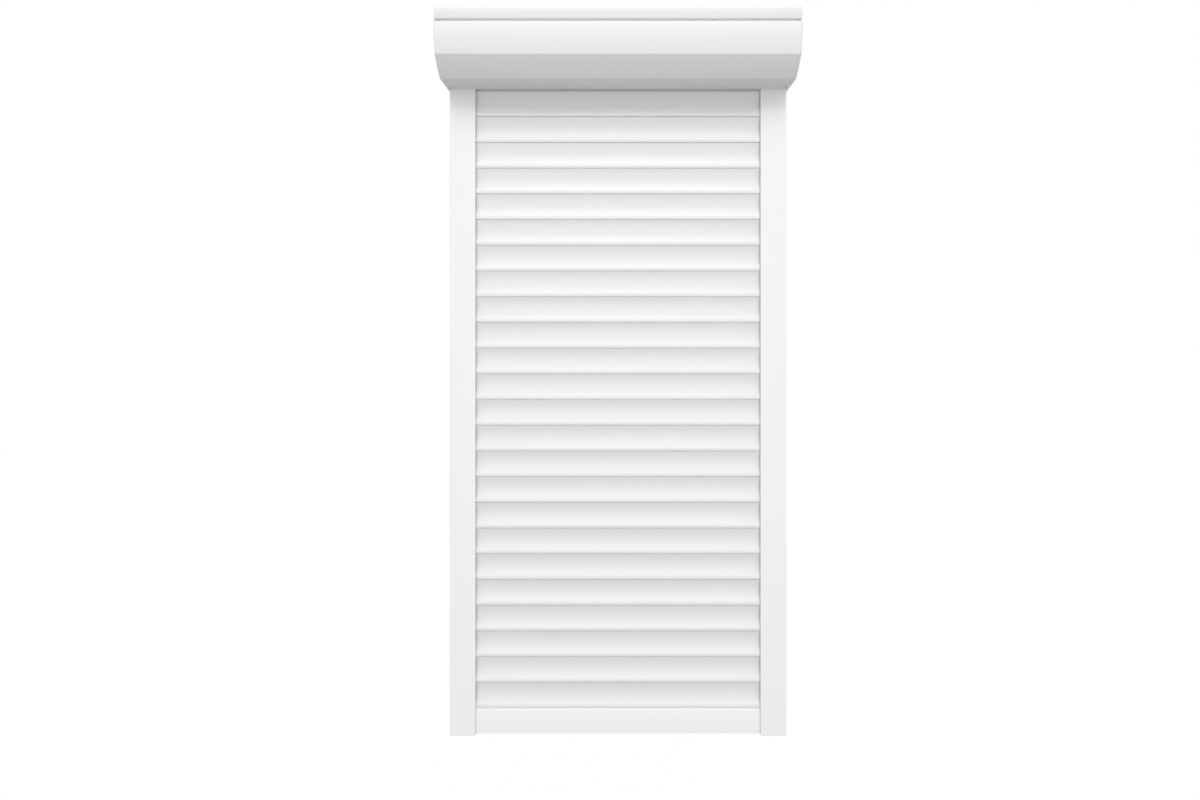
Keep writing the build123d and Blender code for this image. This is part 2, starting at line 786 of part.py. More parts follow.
with BuildPart() as cable_grommet:
    cable_place = (cable_inset - width / 2, box_foot + cable_rise)
    with BuildSketch(Plane.XZ):
        with Locations(cable_place):
            Circle(grommet_neck)
    extrude(amount=sheet)
    with BuildSketch(Plane.XZ.offset(sheet)):
        with Locations(cable_place):
            Circle(grommet_radius)
    extrude(amount=grommet_height)
    with BuildSketch(Plane.XZ):
        with Locations(cable_place):
            Circle(cable_radius)
    extrude(amount=sheet + grommet_height, mode=Mode.SUBTRACT)
keep(cable_grommet, "cable_grommet")

# Idler: a plug in the shaft's right end, whose pin turns in a ball bearing on the right cap
pin_end = width / 2 - bracket_plate - side_gap
bearing_end = width / 2 - bracket_plate - side_gap
bearing_start = bearing_end - bearing_width
track_radius = (ring_inner_radius + ring_outer_radius) / 2

with BuildPart() as tube_end_plug:
    with BuildSketch(shaft_plane(tube_end)):
        octagon(plug_flats)
    extrude(amount=plug_length)
    with BuildSketch(shaft_plane(tube_end + plug_rim)):
        octagon(tube_flats)
    extrude(amount=plug_rim)
    with BuildSketch(shaft_plane(tube_end + plug_rim)):
        Circle(pin_radius + fit_gap)
    extrude(amount=plug_rim + plug_length, mode=Mode.SUBTRACT)
keep(tube_end_plug, "tube_end_plug")

with BuildPart() as idler_pin:
    with BuildSketch(shaft_plane(pin_end)):
        Circle(pin_radius)
    extrude(amount=pin_length)
keep(idler_pin, "idler_pin")

for name, inner, outer in (
    ("bearing_inner_ring", pin_radius + fit_gap, ring_inner_radius),
    ("bearing_outer_ring", ring_outer_radius, bearing_radius),
):
    with BuildPart(shaft_plane(bearing_end - bearing_width / 2)) as ring:
        with BuildSketch(shaft_plane(bearing_end)):
            Circle(outer)
            Circle(inner, mode=Mode.SUBTRACT)
        extrude(amount=bearing_width)
        Torus(track_radius, ball_radius + ball_gap, mode=Mode.SUBTRACT)
    keep(ring, name)

with BuildPart(shaft_plane(bearing_end - bearing_width / 2)) as bearing_balls:
    with PolarLocations(track_radius, ball_count):
        Sphere(ball_radius)
keep(bearing_balls, "bearing_balls")

with BuildPart() as bearing_holder:
    with BuildSketch(shaft_plane(width / 2)):
        Rectangle(bracket_side, bracket_side)
    extrude(amount=bracket_plate)
    with BuildSketch(shaft_plane(bracket_face)):
        Circle(bearing_radius + fit_gap + collar_wall)
        Circle(bearing_radius + fit_gap, mode=Mode.SUBTRACT)
    extrude(amount=holder_depth)
    bore(bracket_screws["right"], screw_bore, bracket_plate)
keep(bearing_holder, "bearing_holder")
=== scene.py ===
# %% [markdown]
# # An exterior roller shutter
# A curtain of hooked slats hangs in two guide rails, and a box above holds its shaft.
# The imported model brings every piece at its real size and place, in metres. It is loaded
# first, and nothing in it is moved. Here the slats and the trim that the eye meets are
# modelled again with finer forms, and every piece gets the finish of the real one.

import json
from math import acos, atan2, cos, radians, sin, tan, tau

import bpy
from mathutils import Matrix, Vector


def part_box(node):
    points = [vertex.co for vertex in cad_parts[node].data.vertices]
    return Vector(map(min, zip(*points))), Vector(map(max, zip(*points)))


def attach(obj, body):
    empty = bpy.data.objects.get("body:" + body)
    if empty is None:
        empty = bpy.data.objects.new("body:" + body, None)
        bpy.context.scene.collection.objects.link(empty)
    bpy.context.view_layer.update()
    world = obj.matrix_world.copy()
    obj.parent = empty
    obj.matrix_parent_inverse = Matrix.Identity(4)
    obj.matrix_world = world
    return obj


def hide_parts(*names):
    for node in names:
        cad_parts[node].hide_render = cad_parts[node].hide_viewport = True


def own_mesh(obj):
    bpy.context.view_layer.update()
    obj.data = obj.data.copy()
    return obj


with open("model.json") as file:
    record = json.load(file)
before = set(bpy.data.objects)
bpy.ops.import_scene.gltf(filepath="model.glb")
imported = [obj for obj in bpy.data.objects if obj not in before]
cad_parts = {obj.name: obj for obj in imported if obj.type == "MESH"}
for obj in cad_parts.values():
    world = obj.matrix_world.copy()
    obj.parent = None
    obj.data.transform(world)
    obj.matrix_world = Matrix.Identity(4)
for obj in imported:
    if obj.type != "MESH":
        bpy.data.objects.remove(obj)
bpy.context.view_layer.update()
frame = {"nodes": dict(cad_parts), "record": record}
nodes = frame["nodes"]
body_of_node = {
    node: body
    for body, members in frame["record"]["behaviour"]["bodies"].items()
    for node in members
}

# %% [markdown]
# The sizes that the new pieces follow are read from the frame. A slat's own section is
# given in millimetres, as a maker would draw it, and `MM` turns it to metres. "Depth" is
# the distance from the wall towards the street, so it is minus y.

# %% Measure the frame
MM = 0.001

rail_low, rail_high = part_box("rail_cover_right")
slat_low, slat_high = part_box("slat_01")
bar_low, bar_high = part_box("bottom_bar")
panel_low, panel_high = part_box("front_panel")

half_width = rail_high.x
rail_front = rail_low.y
rail_head = rail_high.z
slat_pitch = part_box("slat_02")[0].z - slat_low.z
slat_half = slat_high.x
lock_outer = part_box("slat_end_locks")[1].x
entry_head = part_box("entry_slat")[1].z
rail_seal_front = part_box("rail_seals_right")[0].y
box_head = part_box("box_top_back_panel")[1].z
half_box = panel_high.x
cap_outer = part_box("end_cap_right")[1].x
print("slat pitch in mm:", round(slat_pitch / MM, 2), "slat half length:", round(slat_half, 4))

# %% [markdown]
# ## Camera
# The picture looks straight at the curtain. The box's ends flare towards its front, which
# only a near camera shows, so the camera stands close and looks level. Its lens is shifted
# instead of tilted, which keeps the rails upright, as an architect's camera does.
# The rows and columns are places in a frame of 1200 by 800 pixels. The horizon is kept near
# the middle row, because a lens that is shifted far loses the box when it is seen from
# other sides.

# %% Place the camera
frame_columns = 1200
frame_rows = 800
rail_head_row = 89.5
sill_row = 735.5
horizon_row = 319
middle_column = 618
camera_distance = 2.1

pixels_per_metre = (sill_row - rail_head_row) / rail_head
camera_data = bpy.data.cameras.new("camera")
camera = bpy.data.objects.new("camera", camera_data)
bpy.context.scene.collection.objects.link(camera)
bpy.context.scene.camera = camera
camera_data.lens = camera_data.sensor_width * pixels_per_metre * camera_distance / frame_columns
camera_data.shift_x = (frame_columns / 2 - middle_column) / frame_columns
camera_data.shift_y = (horizon_row - frame_rows / 2) / frame_columns
eye_height = (sill_row - horizon_row) / pixels_per_metre
camera.location = (0, rail_front - camera_distance, eye_height)
camera.rotation_euler = (radians(90), 0, 0)
print("lens in mm:", round(camera_data.lens, 2), "eye height:", round(eye_height, 3))

# %% [markdown]
# ## Light, floor and background
# White paint on white paper shows its form only through soft shade. A soft sun above the
# street gives the box its shadow on the slats, and a pale sky and a wide lamp low over the
# pavement fill it. The sky and the floor look white to the camera and to mirrors, but
# light the object with less, so that the paint isn't washed out.

# %% Light the scene
scene = bpy.context.scene
scene.view_settings.view_transform = "Standard"


def add_node(tree, kind, values=None, **settings):
    """Add a shader node, set its options, and fill or link its sockets."""
    made = tree.nodes.new(kind)
    for option, value in settings.items():
        setattr(made, option, value)
    for socket, value in (values or {}).items():
        if isinstance(value, tuple) and isinstance(value[0], bpy.types.Node):
            tree.links.new(value[0].outputs[value[1]], made.inputs[socket])
        else:
            made.inputs[socket].default_value = value
    return made


def linear(code):
    """Turn an sRGB hex colour into the linear colour that shaders take."""
    shares = [int(code[place:place + 2], 16) / 255 for place in (1, 3, 5)]
    return [
        share / 12.92 if share <= 0.04045 else ((share + 0.055) / 1.055) ** 2.4
        for share in shares
    ] + [1]


def seen_directly(tree):
    """A factor that is 1 for camera, mirror and glass rays, and 0 for light that scatters."""
    path = add_node(tree, "ShaderNodeLightPath")
    mirrored = add_node(
        tree, "ShaderNodeMath",
        {0: (path, "Is Camera Ray"), 1: (path, "Is Glossy Ray")}, operation="MAXIMUM")
    return add_node(
        tree, "ShaderNodeMath",
        {0: (mirrored, 0), 1: (path, "Is Transmission Ray")}, operation="MAXIMUM")


sky_light = 0.87
world = bpy.data.worlds.new("pale_sky")
scene.world = world
world.use_nodes = True
tree = world.node_tree
tree.nodes.clear()
seen = seen_directly(tree)
strength = add_node(
    tree, "ShaderNodeMapRange", {"Value": (seen, 0), "To Min": sky_light, "To Max": 1.0})
sky = add_node(
    tree, "ShaderNodeBackground",
    {"Color": linear("#FFFFFF"), "Strength": (strength, "Result")})
add_node(tree, "ShaderNodeOutputWorld", {"Surface": (sky, 0)})


def add_lamp(name, place, target, size, power):
    """A square area lamp that looks at a point."""
    data = bpy.data.lights.new(name, "AREA")
    data.shape = "RECTANGLE"
    data.size, data.size_y = size
    data.energy = power
    lamp = bpy.data.objects.new(name, data)
    scene.collection.objects.link(lamp)
    lamp.location = place
    lamp.rotation_euler = (Vector(target) - Vector(place)).to_track_quat("-Z", "Y").to_euler()
    return lamp


add_lamp("pavement_lamp", (0, -9.0, 0.9), (0, 0, 1.0), (7.0, 1.6), 90)
add_lamp("garden_lamp", (1.5, 4.5, 4.0), (0, 0, 1.2), (3.0, 2.0), 40)

daylight = bpy.data.lights.new("daylight", "SUN")
daylight.energy = 1.03
daylight.angle = radians(34)
daylight_lamp = bpy.data.objects.new("daylight", daylight)
scene.collection.objects.link(daylight_lamp)
daylight_lamp.rotation_euler = (radians(47), 0, 0)

# %% [markdown]
# The floor is one large plane just under the sill. To the camera it glows as white as the
# sky. To light that scatters it is mostly matt grey paper, so it throws back only a little.

# %% Lay the floor
floor_size = 14
floor_drop = 0.4 * MM
glow_strength = 1.08
glow_share = 0.9
bpy.ops.object.select_all(action="DESELECT")
bpy.ops.mesh.primitive_plane_add(size=floor_size, location=(0, 0, -floor_drop))
floor = bpy.context.object
floor.name = "floor"
paper = bpy.data.materials.new("matt_white_floor")
paper.use_nodes = True
tree = paper.node_tree
tree.nodes.clear()
glow = add_node(
    tree, "ShaderNodeEmission", {"Color": linear("#FFFFFF"), "Strength": glow_strength})
matt = add_node(tree, "ShaderNodeBsdfDiffuse", {"Color": linear("#898989")})
share_of_glow = add_node(
    tree, "ShaderNodeMapRange",
    {"Value": (seen_directly(tree), 0), "To Min": 0, "To Max": glow_share})
blend = add_node(
    tree, "ShaderNodeMixShader", {0: (share_of_glow, "Result"), 1: (matt, 0), 2: (glow, 0)})
add_node(tree, "ShaderNodeOutputMaterial", {"Surface": (blend, 0)})
floor.data.materials.append(paper)
print("lamps and floor are in place")

# %% [markdown]
# ## Finishes
# Each finish starts from the real material. Its colour is an sRGB hex value, its roughness
# and refraction are typical for that material, and its pattern has a real size. Patterns
# read Object coordinates, which are metres in the frame, so a grain of 2 mm is a noise
# scale of 1 / 0.002. A paint film, a casting and a moulding are never perfectly even, so
# tone and roughness wander a little over clouds as wide as a hand.

# %% A recipe for one finish
cloud_size = 0.18


def finish(name, colours, roughness, grain, relief, stretch=(1, 1, 1), **shader):
    """A surface with wandering tone and roughness and a fine relief.

    `colours` and `roughness` are pairs between which the surface wanders. `grain` is the
    size of the relief's pattern and `relief` its depth, in metres. `stretch` lengthens the
    pattern along an axis, as rolling and drawing do. `shader` sets the shader's own sockets.
    """
    made = bpy.data.materials.new(name)
    made.use_nodes = True
    tree = made.node_tree
    tree.nodes.clear()
    place = add_node(tree, "ShaderNodeTexCoord")
    drawn = add_node(
        tree, "ShaderNodeMapping",
        {"Vector": (place, "Object"), "Scale": [1 / share for share in stretch]})
    broad = add_node(
        tree, "ShaderNodeTexNoise", {"Vector": (drawn, 0), "Scale": 1 / cloud_size, "Detail": 2.0})
    fine = add_node(
        tree, "ShaderNodeTexNoise", {"Vector": (drawn, 0), "Scale": 1 / grain, "Detail": 3.0})
    tone = add_node(
        tree, "ShaderNodeMix",
        {0: (broad, "Fac"), 6: linear(colours[0]), 7: linear(colours[1])}, data_type="RGBA")
    dull = add_node(
        tree, "ShaderNodeMapRange",
        {"Value": (broad, "Fac"), "To Min": roughness[0], "To Max": roughness[1]})
    bump = add_node(
        tree, "ShaderNodeBump", {"Height": (fine, "Fac"), "Distance": relief, "Strength": 1.0})
    surface = add_node(
        tree, "ShaderNodeBsdfPrincipled",
        {"Base Color": (tone, 2), "Roughness": (dull, "Result"), "Normal": (bump, 0), **shader})
    add_node(tree, "ShaderNodeOutputMaterial", {"Surface": (surface, 0)})
    return made


print("finish recipe is ready")

# %% [markdown]
# Slats and box panels are coil-coated aluminium: the enamel is baked on the flat sheet and
# then rolled, so it is smooth, and its faint ripple runs along the sheet. The slats' copy of
# the enamel is darker than the box's, which paints shade into them. Rails, bottom bar and end
# caps are powder-coated, with a soft orange peel of about 1.5 mm, drawn at 3 to 4 mm so that
# it shows at this distance. The caps have their own white, and the bar's copy of the rails'
# white is lighter, which paints light into it. All are paints with an IOR of 1.5.

# %% Painted finishes
# The slats' copy of the enamel is darker than the box's: painted shade.
slat_enamel_darkened_as_painted_shade = finish(
    "baked_enamel_on_slats", ("#ECECEC", "#E8E8E8"), (0.34, 0.40),
    grain=6 * MM, relief=0.012 * MM, stretch=(30, 1, 1), IOR=1.5)
box_enamel = finish(
    "baked_enamel_on_box", ("#F2F2F2", "#EFEFEF"), (0.34, 0.40),
    grain=6 * MM, relief=0.012 * MM, stretch=(30, 1, 1), IOR=1.5)
powder_coat = finish(
    "powder_coated_aluminium", ("#F5F5F5", "#F2F2F2"), (0.42, 0.50),
    grain=4 * MM, relief=0.02 * MM, IOR=1.5)
# The bar's copy of the rails' powder coat is lighter: painted light.
bar_powder_coat_lightened_as_painted_light = finish(
    "powder_coated_bottom_bar", ("#FAFAFA", "#F7F7F7"), (0.42, 0.50),
    grain=4 * MM, relief=0.02 * MM, IOR=1.5)
cast_powder_coat = finish(
    "powder_coated_casting", ("#F0F0F0", "#ECECEC"), (0.46, 0.56),
    grain=3 * MM, relief=0.03 * MM, IOR=1.5)

# %% [markdown]
# The running parts are nylon, which is slightly milky, and glass-filled black nylon, whose
# fibres leave it dull. Seals are soft rubber. The steel is zinc coated, blued or ground.
# A metal keeps the default IOR, and its colour is its mirror's tint.

# %% Plastic, rubber and steel finishes
grey_nylon = finish(
    "moulded_grey_nylon", ("#BDBDBA", "#B4B4B1"), (0.42, 0.52), 2 * MM, 0.01 * MM, IOR=1.53)
pale_plastic = finish(
    "moulded_pale_abs", ("#E6E6E4", "#DEDEDC"), (0.40, 0.50), 2 * MM, 0.01 * MM, IOR=1.53)
black_nylon = finish(
    "glass_filled_black_nylon", ("#1D1D1F", "#27272A"), (0.52, 0.66), 1.2 * MM, 0.03 * MM,
    IOR=1.53)
soft_seal = finish(
    "grey_sealing_pile", ("#9A9A98", "#8B8B89"), (0.85, 0.95), 0.8 * MM, 0.15 * MM,
    stretch=(1, 1, 4), IOR=1.45)
black_rubber = finish(
    "extruded_black_rubber", ("#1B1B1B", "#232323"), (0.62, 0.74), 1.5 * MM, 0.02 * MM,
    stretch=(12, 1, 1), IOR=1.52)
zinc_steel = finish(
    "zinc_coated_steel", ("#B9BBBD", "#A9ACAF"), (0.34, 0.50), 9 * MM, 0.02 * MM, Metallic=1.0)
motor_steel = finish(
    "plated_motor_tube", ("#A7A9AC", "#9C9EA1"), (0.28, 0.36), 1 * MM, 0.01 * MM,
    stretch=(8, 1, 1), Metallic=1.0)
bright_steel = finish(
    "ground_bright_steel", ("#C6C5C2", "#BDBCB9"), (0.22, 0.32), 1 * MM, 0.01 * MM,
    Metallic=1.0)
spring_steel = finish(
    "blued_spring_steel", ("#4B5160", "#3E434E"), (0.30, 0.42), 3 * MM, 0.01 * MM,
    stretch=(1, 6, 6), Metallic=1.0)

finish_of_slot = {
    "slat_aluminium": slat_enamel_darkened_as_painted_shade, "box_aluminium": box_enamel,
    "bar_aluminium": bar_powder_coat_lightened_as_painted_light, "rail_aluminium": powder_coat,
    "cap_aluminium": cast_powder_coat, "grey_nylon": grey_nylon,
    "pale_plastic": pale_plastic, "black_plastic": black_nylon, "grey_seal": soft_seal,
    "black_rubber": black_rubber, "zinc_steel": zinc_steel, "motor_steel": motor_steel,
    "bright_steel": bright_steel, "spring_steel": spring_steel,
}
slot_of_node = {
    entry["node"]: entry["material_slot"] for entry in frame["record"]["subparts"]}
for node, piece in nodes.items():
    piece.data.materials.clear()
    piece.data.materials.append(finish_of_slot[slot_of_node[node]])
print("finishes:", len(finish_of_slot))

# %% [markdown]
# ## Drawing a rolled section
# A slat is a strip of sheet that rollers have folded into one long section. By hand it is
# made the same way: a single straight edge, as long as the slat, is extruded round the
# section. Straight runs are extruded, and round ones are spun about their centre.
# `roll_section` takes the section as a list of points in depth and height. A point that
# stands in a pair with a second one is an arc through the first to the second. Where the
# section comes back to its start the points are merged, and the two open ends are filled.

# %% A tool that rolls a section from one edge
merge_distance = 0.02 * MM
end_reach = 0.01 * MM


def at_rest(depth, height):
    """Turn a depth and height in millimetres into y and z in metres."""
    return -depth * MM, height * MM


def circle_through(first, second, third):
    """Centre of the circle through three points."""
    (ax, ay), (bx, by), (cx, cy) = first, second, third
    twice = 2 * (ax * (by - cy) + bx * (cy - ay) + cx * (ay - by))
    squares = [x * x + y * y for x, y in (first, second, third)]
    return (
        (squares[0] * (by - cy) + squares[1] * (cy - ay) + squares[2] * (ay - by)) / twice,
        (squares[0] * (cx - bx) + squares[1] * (ax - cx) + squares[2] * (bx - ax)) / twice)


def keep_selected(piece, wanted):
    """Select, in edit mode, only the vertices that a test wants."""
    bpy.ops.mesh.select_all(action="DESELECT")
    bpy.ops.object.mode_set(mode="OBJECT")
    for vertex in piece.data.vertices:
        vertex.select = wanted(vertex.co)
    bpy.ops.object.mode_set(mode="EDIT")


def roll_section(name, left, right, start, steps, turn_steps=12, closed=True):
    """Extrude and spin one edge round a section, close it and cap its two ends."""
    bpy.ops.object.select_all(action="DESELECT")
    middle = (left + right) / 2
    bpy.ops.mesh.primitive_plane_add(size=right - left, location=(0, 0, 0))
    piece = bpy.context.object
    piece.name = name
    y, z = at_rest(*start)
    bpy.ops.object.mode_set(mode="EDIT")
    bpy.ops.mesh.select_mode(type="VERT")
    keep_selected(piece, lambda place: place.y > 0)
    bpy.ops.mesh.delete(type="VERT")
    bpy.ops.mesh.select_all(action="SELECT")
    bpy.ops.transform.translate(value=(middle, y + (right - left) / 2, z))
    for step in steps:
        if isinstance(step[0], tuple):
            through, end = at_rest(*step[0]), at_rest(*step[1])
            centre_y, centre_z = circle_through((y, z), through, end)
            first = atan2(z - centre_z, y - centre_y)
            half = (atan2(through[1] - centre_z, through[0] - centre_y) - first) % tau
            whole = (atan2(end[1] - centre_z, end[0] - centre_y) - first) % tau
            swing = whole if half < whole else whole - tau
            bpy.ops.mesh.spin(
                steps=turn_steps, angle=-swing, center=(0, centre_y, centre_z), axis=(1, 0, 0))
        else:
            end = at_rest(*step)
            bpy.ops.mesh.extrude_region_move(
                TRANSFORM_OT_translate={"value": (0, end[0] - y, end[1] - z)})
        y, z = end
    bpy.ops.mesh.select_all(action="SELECT")
    bpy.ops.mesh.remove_doubles(threshold=merge_distance)
    if closed:
        for side in (left, right):
            keep_selected(piece, lambda place: abs(place.x - side) < end_reach)
            bpy.ops.mesh.edge_face_add()
    bpy.ops.mesh.select_all(action="SELECT")
    bpy.ops.mesh.normals_make_consistent(inside=False)
    bpy.ops.object.mode_set(mode="OBJECT")
    return piece


def smooth(piece, degrees=35):
    """Shade the piece smooth across gentle turns and crisp across sharp ones."""
    bpy.ops.object.select_all(action="DESELECT")
    piece.select_set(True)
    bpy.context.view_layer.objects.active = piece
    bpy.ops.object.shade_smooth_by_angle(angle=radians(degrees))


def place_copy(model, name, turn, shift):
    """A copy of a piece with its own mesh, turned about the width and then moved."""
    copy = model.copy()
    copy.data = model.data.copy()
    copy.name = copy.data.name = name
    scene.collection.objects.link(copy)
    copy.data.transform(Matrix.Translation(shift) @ Matrix.Rotation(turn, 4, "X"))
    return copy


def dress(piece, node):
    """Put the finish of the node's slot on a piece that stands for it, and let it ride."""
    piece.data.materials.clear()
    piece.data.materials.append(finish_of_slot[slot_of_node[node]])
    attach(piece, body_of_node[node])
    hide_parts(node)


print("section tool is ready")

# %% [markdown]
# ## Slats
# A slat is a hollow strip. Its street face is drawn in by 6 mm, so that the top of each
# face turns down into shade and its foot turns up into light, and that gives the curtain
# its stripes. Along the foot runs a lip, and inside the lip a channel holds the bead of the
# slat below. The origin of the section is under the bead's line, at the lip's foot.

# %% Section of a slat
face_reach = 4
rear_reach = 5
face_bow = 6
lip_height = 12
lip_bulge = 0.6
bar_reach = 5.5
shoulder = 89.5
bead_radius = 3.2
bead_rise = 4.8
channel_radius = 3.5
channel_front = 3.3
channel_rear = -1.1
neck = 1.6
face_middle = (lip_height + shoulder) / 2
pitch = slat_pitch / MM
channel_front_rise = bead_rise - (channel_radius ** 2 - channel_front ** 2) ** 0.5
channel_rear_rise = bead_rise - (channel_radius ** 2 - channel_rear ** 2) ** 0.5
bead_start_rise = pitch + bead_rise - (bead_radius ** 2 - (neck / 2) ** 2) ** 0.5

slat_section = [
    ((face_reach + lip_bulge, lip_height / 2), (face_reach, lip_height)),
    ((face_reach - face_bow, face_middle), (face_reach, shoulder)),
    (neck / 2, shoulder),
    (neck / 2, bead_start_rise),
    ((0, pitch + bead_rise + bead_radius), (-neck / 2, bead_start_rise)),
    (-neck / 2, shoulder),
    (-rear_reach, shoulder),
    ((-rear_reach - face_bow, face_middle), (-rear_reach, lip_height)),
    (-rear_reach, 0),
    (channel_rear, 0),
    (channel_rear, channel_rear_rise),
    ((0, bead_rise + channel_radius), (channel_front, channel_front_rise)),
    (channel_front, 0),
    (face_reach, 0),
]
slat_model = roll_section(
    "slat_model", -slat_half, slat_half, (face_reach, 0), slat_section, turn_steps=18)
smooth(slat_model)
print("slat model faces:", len(slat_model.data.polygons))

# %% [markdown]
# The curtain hangs from its topmost slat, which already leans over to the shaft. All slats
# are copies of the one model, each with its own mesh. On the real shutter each slat turns
# at its bead and winds up in the box.

# %% Hang the slats
bar_foot_depth = -bar_low.y / MM
bead_depth = bar_foot_depth - bar_reach
slat_rows = len([name for name in nodes if name.startswith("slat_") and name[5:].isdigit()])
first_foot = bar_high.z / MM - bead_rise - bead_radius


def gather(piece):
    """Give a piece of the curtain its own mesh."""
    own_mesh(piece)


hinge_y, hinge_z = at_rest(bead_depth, first_foot + bead_rise)
entry_rise = entry_head - bead_radius * MM - hinge_z - slat_rows * slat_pitch
entry_turn = acos(entry_rise / slat_pitch)
slat_turns = [0] * slat_rows + [entry_turn]
slat_names = [f"slat_{row:02d}" for row in range(1, slat_rows + 1)] + ["entry_slat"]


def seat_on_bead(row, turn):
    """Shift that brings a turned section from its origin onto the bead of its row."""
    rise = bead_rise * MM
    return (0, hinge_y + rise * sin(turn), hinge_z + row * slat_pitch - rise * cos(turn))


for row, (node, turn) in enumerate(zip(slat_names, slat_turns)):
    slat = place_copy(slat_model, node + "_rolled", turn, seat_on_bead(row, turn))
    dress(slat, node)
    gather(slat)
bpy.data.objects.remove(slat_model)
print("slats:", len(slat_names), "topmost leans by", round(entry_turn * 360 / tau, 2), "degrees")

# %% [markdown]
# Each end of a slat holds a nylon lock: a plug that fills the hollow, and a plate that
# runs in the rail and keeps the slats from creeping sideways. Only the plate shows, and
# only when a rail is off, so it is a plain rolled plate with bevelled edges.

# %% End locks
plate_width = (lock_outer - slat_half) / MM
plate_round = 0.4
play = 0.3
plate_section = [
    ((face_reach + lip_bulge - play, lip_height / 2), (face_reach - play, lip_height)),
    ((face_reach - face_bow - play, face_middle), (face_reach - play, shoulder - play)),
    (play - rear_reach, shoulder - play),
    ((play - rear_reach - face_bow, face_middle), (play - rear_reach, lip_height)),
    (play - rear_reach, play),
    (face_reach - play, play),
]
plate_model = roll_section(
    "plate_model", 0, plate_width * MM, (face_reach - play, play), plate_section, turn_steps=8)
bevel = plate_model.modifiers.new("edge", "BEVEL")
bevel.width = plate_round * MM
bevel.segments = 2
bevel.limit_method = "ANGLE"
bpy.ops.object.modifier_apply(modifier="edge")
plates = []
for row, turn in enumerate(slat_turns):
    seat = seat_on_bead(row, turn)
    for side, start in (("right", slat_half), ("left", -slat_half - plate_width * MM)):
        plates.append(place_copy(
            plate_model, f"plate_{side}_{row}", turn, (start, seat[1], seat[2])))
bpy.data.objects.remove(plate_model)


def join(pieces, name):
    """Join several objects into the first one, under a new name."""
    bpy.ops.object.select_all(action="DESELECT")
    for piece in pieces:
        piece.select_set(True)
    bpy.context.view_layer.objects.active = pieces[0]
    bpy.ops.object.join()
    pieces[0].name = pieces[0].data.name = name
    return pieces[0]


end_locks = join(plates, "slat_end_locks_moulded")
smooth(end_locks)
dress(end_locks, "slat_end_locks")
gather(end_locks)
print("end lock faces:", len(end_locks.data.polygons))

# %% [markdown]
# ## Bottom bar and seal
# The bar is extruded, not rolled: it is thicker than a slat, its upper edges are rounded,
# and a slot under it holds the seal. On top it carries the same bead as a slat. Its street face
# goes down as a thin skirt in front of the seal. The seal is a rubber strip with a head
# that slides into the slot and a round foot that meets the sill.

# %% Bottom bar
bar_back = 7.5
bar_foot = 8
bar_shoulder = shoulder
bar_round = 1.5
slot_floor = 2
slot_neck_half = 2.2
slot_head_half = 4
slot_head_rise = 3
skirt_wall = 1.5
skirt_foot = 0.8
bar_middle = (bar_reach - bar_back) / 2
bead_start = bar_high.z / MM - bead_radius - (bead_radius ** 2 - (neck / 2) ** 2) ** 0.5
round_share = 1 - 0.5 ** 0.5
round_inset = bar_round * round_share

bar_section = [
    (bar_reach, bar_shoulder - bar_round),
    ((bar_reach - round_inset, bar_shoulder - round_inset), (bar_reach - bar_round, bar_shoulder)),
    (neck / 2, bar_shoulder),
    (neck / 2, bead_start),
    ((0, bar_high.z / MM), (-neck / 2, bead_start)),
    (-neck / 2, bar_shoulder),
    (bar_round - bar_back, bar_shoulder),
    ((round_inset - bar_back, bar_shoulder - round_inset), (-bar_back, bar_shoulder - bar_round)),
    (-bar_back, bar_foot),
    (bar_middle - slot_neck_half, bar_foot),
    (bar_middle - slot_neck_half, bar_foot + slot_floor),
    (bar_middle - slot_head_half, bar_foot + slot_floor),
    (bar_middle - slot_head_half, bar_foot + slot_floor + slot_head_rise),
    (bar_middle + slot_head_half, bar_foot + slot_floor + slot_head_rise),
    (bar_middle + slot_head_half, bar_foot + slot_floor),
    (bar_middle + slot_neck_half, bar_foot + slot_floor),
    (bar_middle + slot_neck_half, bar_foot),
    (bar_reach - skirt_wall, bar_foot),
    (bar_reach - skirt_wall, skirt_foot + skirt_wall / 2),
    ((bar_reach - skirt_wall / 2, skirt_foot), (bar_reach, skirt_foot + skirt_wall / 2)),
]
bar_model = roll_section(
    "bar_model", -slat_half, slat_half, (bar_reach, skirt_foot + skirt_wall / 2), bar_section)
bottom_bar = place_copy(bar_model, "bottom_bar_extruded", 0, (0, hinge_y, 0))
bpy.data.objects.remove(bar_model)
smooth(bottom_bar)
dress(bottom_bar, "bottom_bar")
print("bottom bar faces:", len(bottom_bar.data.polygons))

# %% [markdown]
# The seal is drawn by the same tool: its head, its neck, and a foot whose round end is an
# arc. A play of 0.2 mm all round keeps it from touching the slot.

# %% Bar seal
seal_play = 0.2
seal_neck_half = slot_neck_half - seal_play
seal_head_half = slot_head_half - seal_play
seal_half = 4.5
seal_foot = 0.5
seal_head_foot = bar_foot + slot_floor + seal_play
seal_head_top = bar_foot + slot_floor + slot_head_rise - seal_play
seal_section = [
    (bar_middle - seal_head_half, seal_head_top),
    (bar_middle + seal_head_half, seal_head_top),
    (bar_middle + seal_head_half, seal_head_foot),
    (bar_middle + seal_neck_half, seal_head_foot),
    (bar_middle + seal_neck_half, bar_foot),
    (bar_middle + seal_half, bar_foot),
    (bar_middle + seal_half, seal_foot + seal_half),
    ((bar_middle, seal_foot), (bar_middle - seal_half, seal_foot + seal_half)),
    (bar_middle - seal_half, bar_foot),
    (bar_middle - seal_neck_half, bar_foot),
    (bar_middle - seal_neck_half, seal_head_foot),
    (bar_middle - seal_head_half, seal_head_foot),
]
seal_model = roll_section(
    "seal_model", -slat_half, slat_half, (bar_middle - seal_head_half, seal_head_foot),
    seal_section)
bar_seal = place_copy(seal_model, "bar_seal_moulded", 0, (0, hinge_y, 0))
bpy.data.objects.remove(seal_model)
smooth(bar_seal)
dress(bar_seal, "bar_seal")
print("bar seal faces:", len(bar_seal.data.polygons))

